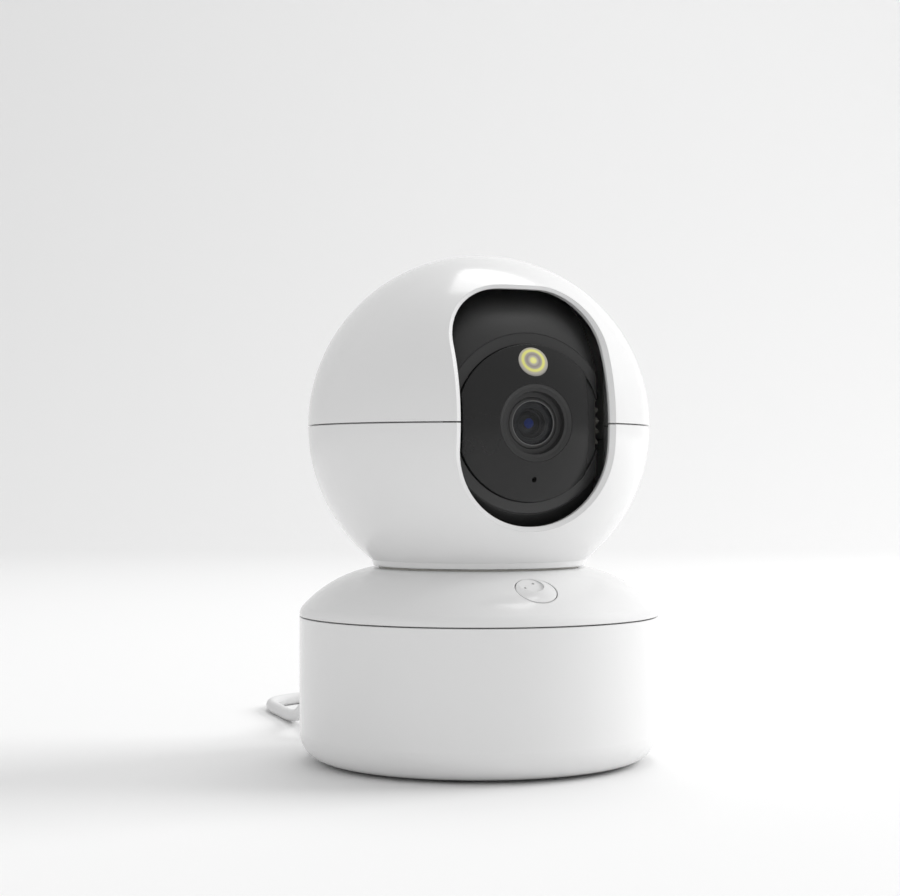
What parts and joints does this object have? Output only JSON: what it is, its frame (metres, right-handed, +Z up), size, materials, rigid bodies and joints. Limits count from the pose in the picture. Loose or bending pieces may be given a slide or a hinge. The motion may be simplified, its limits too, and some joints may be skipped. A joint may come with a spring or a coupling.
{
  "type": "security camera",
  "caption": "Indoor pan-and-tilt security camera: round base, ball-shaped head, tilting black lens ball, call button and a coiled USB power cord.",
  "frame": {"origin": "centre of the base on the surface it stands on", "axes": "+Z up, lens faces -Y, power cord leaves towards +Y"},
  "size_m": [0.0959, 0.1657, 0.1181],
  "materials": {
    "shell_white": "gloss",
    "ball_black": "gloss",
    "face_black": "gloss",
    "trim_black": "satin",
    "bezel_black": "gloss",
    "barrel_black": "matte",
    "lens_glass": "coated",
    "spot_lens": "translucent",
    "reset_black": "matte",
    "foot_rubber": "matte",
    "brass": "machined",
    "steel_screw": "plated",
    "motor_steel": "plated",
    "gear_acetal": "satin",
    "frame_plastic": "matte",
    "board_green": "solder mask",
    "chip_black": "matte",
    "aerial_film": "matte",
    "loom_sleeve": "matte",
    "speaker_black": "matte",
    "socket_metal": "nickel",
    "cord_white": "satin",
    "tie_black": "matte"
  },
  "bodies": {
    "base": {"base_cup": "shell_white", "base_cover": "shell_white", "foot_ring": "foot_rubber", "tripod_insert": "brass", "base_screws": "steel_screw", "pan_slip_ring": "gear_acetal", "pan_motor": "motor_steel", "base_board": "board_green", "base_inner_screws": "steel_screw", "power_socket": "socket_metal", "speaker": "speaker_black", "button_board": "board_green", "call_switch": "chip_black", "base_loom": "loom_sleeve", "power_plug": "cord_white", "power_plug_tip": "socket_metal", "power_cord": "cord_white", "cord_coil": "cord_white", "cord_tail": "cord_white", "cord_tie": "tie_black", "usb_plug": "cord_white", "usb_plug_shell": "socket_metal"},
    "head": {"head_shell_lower": "shell_white", "head_shell_upper": "shell_white", "bracket_left": "frame_plastic", "bracket_right": "frame_plastic", "head_inner_screws": "steel_screw", "tilt_bushes": "gear_acetal", "tilt_motor": "motor_steel", "main_board": "board_green", "shield_can": "motor_steel", "wifi_antenna": "aerial_film", "head_loom": "loom_sleeve", "pan_gear": "gear_acetal", "pan_gear_screws": "steel_screw"},
    "lens_ball": {"ball_shell": "ball_black", "ball_rear_cover": "ball_black", "face_plate": "face_black", "trim_ring": "trim_black", "lens_bezel": "bezel_black", "lens_barrel": "barrel_black", "front_lens": "lens_glass", "lens_holder": "barrel_black", "image_sensor": "chip_black", "sensor_board": "board_green", "sensor_board_screws": "steel_screw", "spotlight_lens": "spot_lens", "spotlight_board": "board_green", "microphone": "motor_steel", "card_slot": "motor_steel", "card_board": "board_green", "tilt_axles": "gear_acetal", "tilt_gear": "gear_acetal", "ball_loom": "loom_sleeve"},
    "pan_pinion": {"pan_pinion": "gear_acetal", "pan_motor_shaft": "motor_steel"},
    "tilt_pinion": {"tilt_pinion": "gear_acetal", "tilt_motor_shaft": "motor_steel"},
    "call_button": {"call_button": "shell_white"},
    "reset_button": {"reset_button": "reset_black"}
  },
  "joints": [
    {"name": "pan", "type": "hinge", "parent": "base", "child": "head", "pos_m": [0, 0, 0.07813], "axis": [0, 0, 1], "range_deg": [-170, 170]},
    {"name": "tilt", "type": "hinge", "parent": "head", "child": "lens_ball", "pos_m": [0, 0, 0.07813], "axis": [-1, 0, 0], "range_deg": [-20, 35]},
    {"name": "pan_pinion_spin", "type": "hinge", "parent": "base", "child": "pan_pinion", "pos_m": [-0.0288, 0, 0.036], "axis": [0, 0, 1], "range_deg": [-860, 860]},
    {"name": "tilt_pinion_spin", "type": "hinge", "parent": "head", "child": "tilt_pinion", "pos_m": [0.0224, 0.01855, 0.07316], "axis": [-1, 0, 0], "range_deg": [-110, 65]},
    {"name": "call_button_press", "type": "slide", "parent": "base", "child": "call_button", "axis": [0, 0.5041, -0.8636], "range_m": [0, 0.0006], "stiffness_N_per_m": 800, "springref_m": -0.0003},
    {"name": "reset_button_press", "type": "slide", "parent": "lens_ball", "child": "reset_button", "axis": [0, 0.6947, 0.7193], "range_m": [0, 0.0005], "stiffness_N_per_m": 400, "springref_m": -0.0003}
  ],
  "couplings": [
    {"joint": "pan_pinion_spin", "follows": "pan", "ratio": -5},
    {"joint": "tilt_pinion_spin", "follows": "tilt", "ratio": -3}
  ]
}
